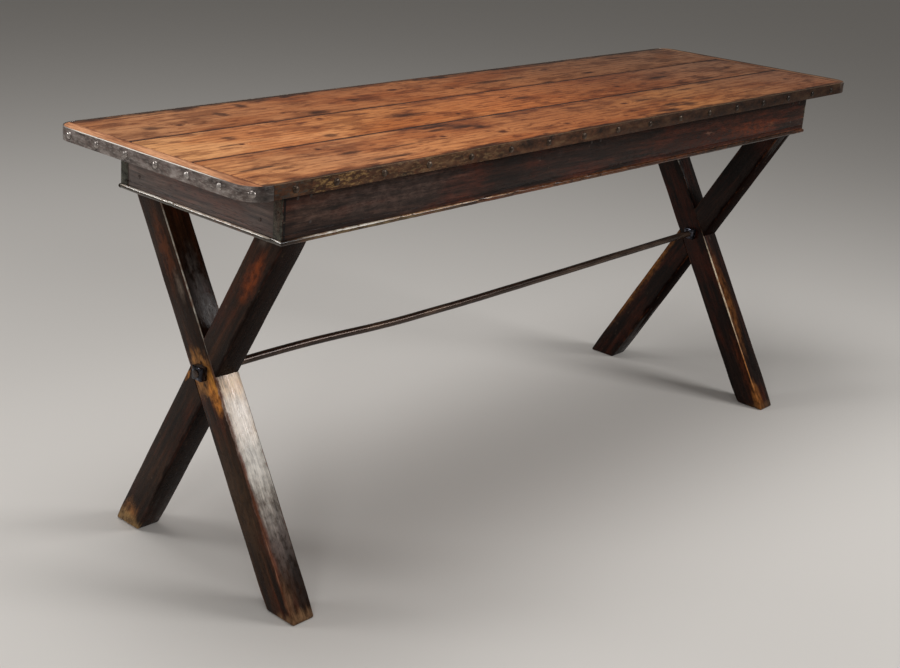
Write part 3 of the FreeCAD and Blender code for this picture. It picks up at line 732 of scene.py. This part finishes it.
def buildApron():
    faceX, faceY = apron["face"]
    inX, inY = faceX - apron["thickness"], faceY - apron["thickness"]
    low, high, recess = apron["low"], apron["high"], apron["recess"]
    boardIn, boardLevel = apron["thickness"] / 2, (low + high) / 2
    stripIn = (apron["thickness"] - moulding["projection"]) / 2
    stripLevel = moulding["low"] + moulding["height"] / 2
    for place, side in sides:
        look = dict(apronLooks[place], centre=(0, side * (faceY - boardIn), boardLevel), seed=side * 1.7)
        cross = sorted((side * inY, side * (faceY - recess)))
        apronBoard("apron_board_" + place, look, (-faceX, cross[0], low), (faceX, cross[1], high), side, True)
        patches = [
            # Painted highlight: the nose pale tan along the left half of the long strips
            patch((0, 0, -610), (30, 30, 330), 0.8, 0.85, "#8a7450", "#3a2c1e"),
            patch((0, 0, -60), (30, 30, 380), 0.8, 0.6, "#9a6238", "#42240f"),
            # Painted shade: the strip darker towards the right end, where the light falls off
            patch((0, 0, 560), (30, 30, 460), 0.7, 0.8, "#3c2719", "#1b110b"),
            patch((0, 0, -790), (30, 30, 60), 0.6, 0.9, "#2c211b", "#18100c"),
            # Painted highlights: pale and white lines along the top of the nose, towards the left end
            patch((-3.2, side * 10.2, -450), (1.7, 1.7, 300), 0.5, 0.9, "#e6bd92", "#a87a54", 0.4, True),
            patch((-3.0, side * 10.2, -650), (2.3, 2.3, 130), 0.5, 1.0, "#fffaf0", "#e0d4bc", 0.2, True)]
        look = dict(stripLook, centre=(0, side * (faceY - stripIn), stripLevel), seed=side * 5.1, patches=patches)
        mouldingStrip("moulding_" + place, look, side, True)
    for place, side in ends:
        look = dict(apronLooks["end"], centre=(side * (faceX - boardIn), 0, boardLevel), seed=side * 8.3)
        cross = sorted((side * inX, side * (faceX - recess - apron["jointRecess"])))
        reach = inY - apron["jointGap"]
        apronBoard("apron_board_" + place, look, (cross[0], -reach, low), (cross[1], reach, high), side, False)
        patches = [
            patch((0, 0, 0), (30, 30, 400), 0.5, 0.85, "#4c4436", "#2a241e"),
            # Painted highlight: a white line along the top of the nose
            patch((side * 10.4, 3.0, 0), (2.5, 2.5, 330), 0.4, 1.0, "#fffaf0", "#e4dac8", line=True)]
        look = dict(endStripLook, centre=(side * (faceX - stripIn), 0, stripLevel), seed=side * 9.9,
                    patches=patches)
        mouldingStrip("moulding_" + place, look, side, False)
    print("apron: four boards and four moulding strips")


buildApron()


# Crossed legs, halved into each other, their tops let in behind the apron
legs = {
    "plane": 750.0, "width": 60.0, "thickness": 52.0, "crossing": 382.0, "angle": 29.994, "halfLength": 520.0,
    "foot": 0.1, "top": 715.8, "arris": 2.6, "arrisSteps": 3, "sections": (-445.0, 390.0, 18.0),
    "wear": (0.55, 55.0), "wearFrom": 2.0, "halvingGap": 0.15, "halvingPast": 10.0,
    # Where the shoulder is cut out, in y and z, and the half width, depth and height over it that the cutter has
    "shoulder": (190.0, 663.0), "shoulderCutter": (40.0, 80.0, 73.0),
    "toeWear": 1.6, "toeReach": 60.0, "toeRound": 5.0, "toeSections": (0.4, 1.0, 2.0, 3.4, 5.0),
}
nearLook = dict(woodLook, half=(26, 30), tones=("#190f0a", "#2d1c12", "#4a2e1c"), arris="#6e3f26",
                arrisWidth=2.4, arrisStrength=0.5, poreTone=0.6, rough=(0.2, 0.4), gloss=0.1, relief=0.35)
# Painted shade: the far legs get a darker copy of the same stained finish
farShadedLook = dict(nearLook, tones=("#120b09", "#1e130f", "#302019"), redStrength=0.35, arrisStrength=0.3)
bareTones = ("#c9823a", "#2f1a0e")
# Local axes: x to the table's right, y across the leg to its back, z up along it from the crossing
legLooks = {
    "leg_left_outer": dict(nearLook, patches=[
        patch((-26, 2, -4), (8, 40, 56), 0.5, 0.95, "#b27a40", "#2f1a0e"),
        patch((-26, -14, -48), (8, 18, 40), 0.5, 0.95, "#d88a3c", "#5a3216"),
        patch((-26, -20, -26), (8, 9, 26), 0.6, 0.85, "#e8a048", "#a06428"),
        patch((-26, 4, -230), (8, 60, 190), 0.9, 0.6, "#553c26", "#3c2a1a"),
        # Painted highlight and sheen, partly pale worn wood: cream and peach on the front face below the
        # crossing, fading through grey down the leg, with added gloss
        patch((0, -31, -306), (60, 10, 84), 0.9, 0.85, "#62524a", "#33271f", 0.2),
        patch((0, -31, -232), (60, 8, 84), 0.9, 0.95, "#b4aba1", "#7d746b"),
        patch((0, -31, -140), (60, 7, 122), 0.7, 0.97, "#eae3d8", "#b8b0a4", 0.3),
        patch((0, -31, -76), (60, 7, 90), 0.5, 0.97, "#fff2e4", "#dac7b3", 0.2),
        patch((0, -31, -38), (60, 7, 36), 0.8, 0.75, "#ffdcb2", "#e0b288"),
        patch((-26, -31, -60), (6, 6, 90), 0.6, 0.9, "#6a5048", "#3a2c2a"),
        patch((-26, -31, -232), (9, 8, 350), 0.7, 0.92, "#7e4a34", "#4c2a1e"),
        patch((-18, -31, -420), (14, 10, 60), 0.8, 0.6, "#8a6448", "#533a28"),
        patch((-26, -30, -330), (1.9, 1.9, 100), 0.5, 0.8, "#c89a7c", "#7a5444", line=True),
        patch((26, -31, -235), (3.4, 8, 330), 0.5, 0.95, "#2c221a", "#1a120c", line=True),
        # Painted highlight: a pale line along the upper front arris above the crossing
        patch((-26, -30, 175), (2.6, 2.6, 230), 0.5, 0.9, "#d9d2c4", "#a89f90", line=True),
        patch((-26, 0, 225), (8, 24, 90), 0.8, 0.7, "#6e3a1c", "#3a1d10"),
        patch((-26, -10, 150), (8, 14, 40), 0.9, 0.6, "#8a7a6c", "#4a3c34"),
        # Painted sheen: grey on the front face above the crossing
        patch((0, -31, 165), (30, 8, 70), 0.9, 0.6, "#6c6865", "#1c1a19"),
        patch((0, 0, -446), (60, 60, 20), 0.7, 0.8, "#a27c58", "#4e3828")]),
    "leg_left_inner": dict(nearLook, redStrength=0.35, arris="#4c3028", arrisStrength=0.4, patches=[
        # Painted shade: the downward-facing front face darkened, with less gloss
        patch((0, -31, 0), (70, 10, 520), 0.4, 0.9, "#1c120e", "#110a08", -0.08),
        patch((-26, -4, 235), (8, 24, 80), 0.8, 0.9, "#8a4016", "#4a200c"),
        patch((-26, 10, 315), (8, 18, 26), 0.9, 0.5, "#7a6a60", "#4a3c34"),
        patch((-26, 27, -38), (8, 7, 16), 0.5, 0.8, *bareTones),
        patch((-26, 8, -424), (12, 30, 58), 0.7, 0.97, "#a8703e", "#5a3a20"),
        patch((-26, -6, -438), (14, 66, 40), 0.6, 0.95, "#a07e50", "#5a4124")]),
    "leg_right_outer": dict(farShadedLook, patches=[
        # Painted shade: the downward-facing front face darkened, with less gloss
        patch((0, -31, 0), (70, 10, 520), 0.4, 0.9, "#180d09", "#0d0706", -0.11),
        patch((-26, 28, -170), (9, 14, 230), 0.8, 0.9, "#96602c", "#4c2814"),
        patch((26, 0, -10), (8, 40, 50), 0.5, 0.9, *bareTones)]),
    "leg_right_inner": dict(farShadedLook, patches=[
        patch((-26, -20, -340), (9, 14, 130), 0.8, 0.75, "#5c2c14", "#341a0e"),
        # Painted reflection: an orange glow on the front face beside the pale arris line
        patch((-14, -31, -190), (26, 8, 170), 0.8, 0.85, "#7c4a1c", "#3c210e"),
        patch((-26, -31, -430), (24, 18, 60), 0.6, 0.9, "#a0642e", "#4c2c16"),
        patch((0, 0, -447), (60, 60, 16), 0.7, 0.7, "#6a4c30", "#3c2818"),
        patch((-26, -30, -330), (3, 3, 120), 0.5, 0.95, "#c4844c", "#8a5428", line=True),
        # Painted highlights: pale lines along the front arris, below and above the crossing
        patch((-26, -30, -165), (3, 3, 190), 0.4, 0.97, "#efe0c4", "#c8a27a", line=True),
        patch((-26, -30, 220), (2.6, 2.6, 90), 0.5, 0.9, "#d8d0c4", "#6a625a", line=True)]),
}


def legAxes(side, lean):
    # A leg's own axes at the crossing. Its top leans to +Y where lean is 1.
    seat = Matrix.Translation(Vector((side * legs["plane"], 0, legs["crossing"])) * mm)
    return seat @ Matrix.Rotation(-lean * math.radians(legs["angle"]), 4, "X")


def legBar(axes, extra=0.0):
    half = Vector((legs["thickness"] / 2, legs["width"] / 2 + extra, legs["halfLength"])) * mm
    bm = bmesh.new()
    bmesh.ops.create_cube(bm, size=2, matrix=axes @ Matrix.Diagonal((*half, 1)))
    return bm


def cutWith(bm, cutters):
    # Takes the cutters' shapes out of the piece with Boolean modifiers, then drops them
    body = meshObject("cutter", bm)
    for cutter in cutters:
        cut = body.modifiers.new("cut", "BOOLEAN")
        cut.operation, cut.solver, cut.object = "DIFFERENCE", "EXACT", cutter
    shaped = bmesh.new()
    shaped.from_object(body, bpy.context.evaluated_depsgraph_get())
    for spare in [body] + cutters:
        bpy.data.objects.remove(spare)
    return shaped


def wearToe(bm, axes):
    # Boots have worn the toe: its arrises draw in towards the floor and its rim is round
    reach, rim = legs["toeReach"], legs["toeRound"]
    back = axes.inverted()
    for vert in bm.verts:
        local = back @ vert.co
        low = max(0.0, 1 - vert.co.z / (reach * mm)) ** 2 * legs["toeWear"]
        short = max(0.0, rim - vert.co.z / mm)
        low += rim - math.sqrt(max(0.0, rim ** 2 - short ** 2))
        local.x *= 1 - low / (legs["thickness"] / 2)
        local.y *= 1 - low / (legs["width"] / 2)
        vert.co.xy += (axes @ local - vert.co).xy


def halvingCutter(side, lean, keptSide):
    # The other leg's half, drawn out past this one's face
    plane, past = side * legs["plane"], legs["halvingPast"]
    bm = legBar(legAxes(side, -lean), legs["halvingGap"])
    saw(bm, (plane, 0, 0), xWay * keptSide)
    for vert in bm.verts:
        if (vert.co.x - plane * mm) * keptSide < -past * mm:
            vert.co.x -= keptSide * past * mm
    return meshObject("cutter", bm)


def shoulderCutter(side, lean):
    # Room for the apron behind which the leg's top is let in
    plane, (y, z) = side * legs["plane"], legs["shoulder"]
    halfX, deep, over = legs["shoulderCutter"]
    yLow, yHigh = sorted((lean * y, lean * (y + deep)))
    return meshObject("cutter", block((plane - halfX, yLow, z), (plane + halfX, yHigh, z + over)))


def legPiece(name, side, lean, keptSide):
    axes = legAxes(side, lean)
    bm = legBar(axes)
    saw(bm, (0, 0, legs["foot"]), -zWay)
    saw(bm, (0, 0, legs["top"]), zWay)
    lengthwise = axes.to_3x3() @ zWay
    arrises = [edge for edge in bm.edges if
               abs((edge.verts[1].co - edge.verts[0].co).normalized().dot(lengthwise)) > 0.9]
    roundEdges(bm, arrises, legs["arris"], legs["arrisSteps"])
    centre = (side * legs["plane"], 0, legs["crossing"])
    addSections(bm, lengthwise, evenly(*legs["sections"]), centre)
    addSections(bm, zWay, legs["toeSections"])
    wearToe(bm, axes)
    wear(bm, legs["wear"], side * 2.0 + lean, lambda point: point.z > legs["wearFrom"] * mm)
    bm = cutWith(bm, [halvingCutter(side, lean, keptSide), shoulderCutter(side, lean)])
    look = dict(legLooks[name], centre=centre, turn=(-lean * legs["angle"], 0, 0), seed=side * 3.3 + lean * 1.1)
    finishPiece(name, bm, stainedPine("stained pine, " + name, look))


def buildLegs():
    for end, side in ends:
        legPiece("leg_" + end + "_outer", side, -side, side)
        legPiece("leg_" + end + "_inner", side, side, -side)
    print("legs: two halved pairs")


buildLegs()


# Tie rod, bent a little by use, and its four square nuts
rod = {
    "radius": 7.4, "tip": 792.0, "level": 382.0, "faces": 24, "rim": 0.8, "step": 18.0, "wear": (0.3, 60.0),
    "wearTo": 700.0, "easing": 70.0, "easingSteps": 9,
    "line": ((-792, 0), (-696, 0), (-518, 0.5), (-319.5, 10), (-60, 9.8), (639, 0), (696, 0), (792, 0)),
}
nut = {
    "width": 25.0, "thickness": 14.0, "chamfer": 2.0, "arris": 0.7, "inner": 710.0, "outer": 776.0,
    "wear": (0.3, 9.0), "longEdge": 8.0,
}
rodLook = dict(bandLook, clouds=(14.0, (9, 1.4, 1.4), 3.0), pits=(6.0, (6, 1, 1), 3.0), dentWidth=30.0,
               tones=("#261c17", "#3a2c24", "#5c4b3e"), rust="#4a3022", rustStrength=0.35, metal=0.6,
               rough=(0.22, 0.32), relief=0.03, lip=None)
nutLook = dict(bandLook, pits=(3.0, (1, 1, 1), 5.0), clouds=(12.0, (1, 1, 1), 4.0), dentWidth=6.0,
               tones=("#15161b", "#2a2b33", "#70737f"), rust="#3c2a20", rustStrength=0.3, metal=0.85,
               rough=(0.14, 0.28), relief=0.12, lip=None)


def rodDrop(x):
    # Sag of the rod below its ends at a place along it, with the bends eased into curves
    total, count = 0.0, rod["easingSteps"]
    for number in range(count):
        place = x + rod["easing"] * (2 * number / (count - 1) - 1)
        place = min(max(place, -rod["tip"]), rod["tip"])
        for (x0, drop0), (x1, drop1) in zip(rod["line"], rod["line"][1:]):
            if x0 <= place <= x1:
                total += drop0 + (drop1 - drop0) * (place - x0) / (x1 - x0)
                break
    return total / count


def buildRod():
    # A straight round bar with eased rims, cut into short lengths and then bent
    bm = bmesh.new()
    seat = Matrix.Translation((0, 0, rod["level"] * mm)) @ Matrix.Rotation(math.radians(90), 4, "Y")
    bmesh.ops.create_cone(bm, cap_ends=True, segments=rod["faces"], radius1=rod["radius"] * mm,
                          radius2=rod["radius"] * mm, depth=2 * rod["tip"] * mm, matrix=seat)
    roundEdges(bm, sharpEdges(bm, 60), rod["rim"])
    addSections(bm, xWay, evenly(-rod["tip"], rod["tip"], rod["step"]))
    for vert in bm.verts:
        vert.co.z -= rodDrop(vert.co.x / mm) * mm
    wear(bm, rod["wear"], 2.0, lambda point: abs(point.x) < rod["wearTo"] * mm)
    finishPiece("tie_rod", bm, patinatedIron("blackened wrought iron rod", rodLook))
    print("rod: bent bar")


def oneNut(side, start, way):
    # Square nut from its seat outwards, chamfered on the face away from the leg
    half, thickness = nut["width"] / 2, nut["thickness"]
    lowX, highX = sorted((side * start, side * (start + way * thickness)))
    bm = block((lowX, -half, rod["level"] - half), (highX, half, rod["level"] + half))
    seat = side * start * mm
    rim = [edge for edge in bm.edges if all(abs(vert.co.x - seat) > thickness * 0.5 * mm for vert in edge.verts)]
    roundEdges(bm, rim, nut["chamfer"])
    roundEdges(bm, sharpEdges(bm, 60), nut["arris"])
    long = [edge for edge in bm.edges if edge.calc_length() > nut["longEdge"] * mm]
    bmesh.ops.subdivide_edges(bm, edges=long, cuts=2, use_grid_fill=True)
    wear(bm, nut["wear"], side * start * 0.01)
    return bm


def buildNuts():
    nuts = bmesh.new()
    for side in (-1, 1):
        for start, way in ((nut["outer"], 1), (nut["inner"] + nut["thickness"], -1)):
            single, spare = oneNut(side, start, way), bpy.data.meshes.new("nut")
            single.to_mesh(spare)
            single.free()
            nuts.from_mesh(spare)
            bpy.data.meshes.remove(spare)
    finishPiece("tie_rod_nuts", nuts, patinatedIron("blued iron nuts, worn", nutLook))
    print("nuts: four")


buildRod()
buildNuts()


# Bearers, screws, brads and cut nails keep their CAD shapes and get finishes of their own
bareLook = dict(woodLook, centre=(0, 0, 736), turn=(90, 0, 0), half=(26, 20), seed=21.0,
                tones=("#5b4029", "#83603c", "#a27b50"), red="#6e4a2a", redStrength=0.5, arris="#8f6c46",
                rough=(0.6, 0.8), relief=0.7)
fixingLook = dict(bandLook, pits=(2.0, (1, 1, 1), 4.0), clouds=(6.0, (1, 1, 1), 4.0), dentWidth=3.0, metal=0.6,
                  rough=(0.4, 0.6), lip=None)
# Cut nails in the apron went under the same stain as the wood round them
nailLook = dict(fixingLook, metal=0.15, rough=(0.5, 0.7))


def dressHidden():
    bare = stainedPine("unfinished pine, sawn", bareLook)
    iron = patinatedIron("dark iron fixings", fixingLook)
    stained = patinatedIron("cut nail heads under dark stain",
                            dict(nailLook, tones=("#1c1411", "#2c211c", "#4a3e38")))
    faded = patinatedIron("cut nail heads under worn stain",
                          dict(nailLook, tones=("#352c29", "#4a403b", "#64584f")))
    for material, names in (
            (bare, ("end_bearer_left", "end_bearer_right", "middle_bearer")),
            (iron, ("top_screws", "leg_screws", "moulding_brads")),
            (stained, ("apron_nails_front", "apron_nails_back")),
            (faded, ("apron_nails_left", "apron_nails_right"))):
        for name in names:
            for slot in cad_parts[name].material_slots:
                slot.material = material
    print("underside: bearers and fixings")


dressHidden()


# Floor, light and camera
studio = {
    "floor": "#d0ccc7", "floorRough": 0.75, "floorHalf": 30.0, "world": "#dcd9d5", "worldStrength": 0.22,
    "backdrop": "#d2cfcb",
}
lamps = [
    # name, place, aimed at, size, watts
    ("overhead softbox", (-0.9, 0.3, 4.0), (-0.5, 0.0, 0.6), (2.4, 2.0), 85),
    ("front right softbox", (1.45, -2.25, 1.82), (-0.7, -0.1, 0.4), (1.2, 0.5), 40),
    ("back left softbox", (-2.55, 2.2, 1.66), (-0.8, 0.0, 0.67), (1.0, 0.5), 22),
    ("left softbox", (-3.4, -1.75, 1.75), (-0.75, 0.0, 0.5), (0.6, 0.6), 14),
]
cameraLook = {
    "place": (-2.2270, -1.8039, 1.3185), "yaw": 43.78, "pitch": -18.59, "roll": 3.55, "sensor": 36.0,
    "focalPixels": 1444.3, "framePixels": 900, "shift": (68.0, -42.1), "farthest": 200.0,
}


def buildFloor():
    bm = bmesh.new()
    bmesh.ops.create_grid(bm, x_segments=4, y_segments=4, size=studio["floorHalf"])
    floor = meshObject("floor", bm)
    material, add = startMaterial("plain pale floor")
    closeMaterial(add, {"Base Color": linear(studio["floor"]), "Roughness": studio["floorRough"]})
    floor.data.materials.append(material)


def buildLight():
    world = bpy.data.worlds.new("studio")
    bpy.context.scene.world = world
    add = startNodes(world)
    soft = add("Background", {"Color": linear(studio["world"]), "Strength": studio["worldStrength"]})
    seen = add("Background", {"Color": linear(studio["backdrop"]), "Strength": 1.0})
    both = add("MixShader", [add("LightPath").outputs["Is Camera Ray"], soft, seen])
    add("OutputWorld", {"Surface": both})
    for name, place, aim, size, watts in lamps:
        light = bpy.data.lights.new(name, "AREA")
        light.shape = "RECTANGLE"
        light.size, light.size_y = size
        light.energy = watts
        lamp = addObject(name, light)
        lamp.location = place
        lamp.rotation_euler = (Vector(aim) - Vector(place)).to_track_quat("-Z", "Y").to_euler()


def buildCamera():
    lens = bpy.data.cameras.new("camera")
    lens.sensor_width = cameraLook["sensor"]
    lens.lens = cameraLook["focalPixels"] / cameraLook["framePixels"] * lens.sensor_width
    lens.shift_x, lens.shift_y = [pixels / cameraLook["framePixels"] for pixels in cameraLook["shift"]]
    lens.clip_end = cameraLook["farthest"]
    camera = addObject("camera", lens)
    turn = (Matrix.Rotation(math.radians(cameraLook["yaw"] - 90), 4, "Z")
            @ Matrix.Rotation(math.radians(90 + cameraLook["pitch"]), 4, "X")
            @ Matrix.Rotation(math.radians(cameraLook["roll"]), 4, "Z"))
    camera.matrix_world = Matrix.Translation(cameraLook["place"]) @ turn
    bpy.context.scene.camera = camera
    bpy.context.scene.view_settings.view_transform = "Standard"


buildFloor()
buildLight()
buildCamera()
print("studio: floor, lamps and camera")
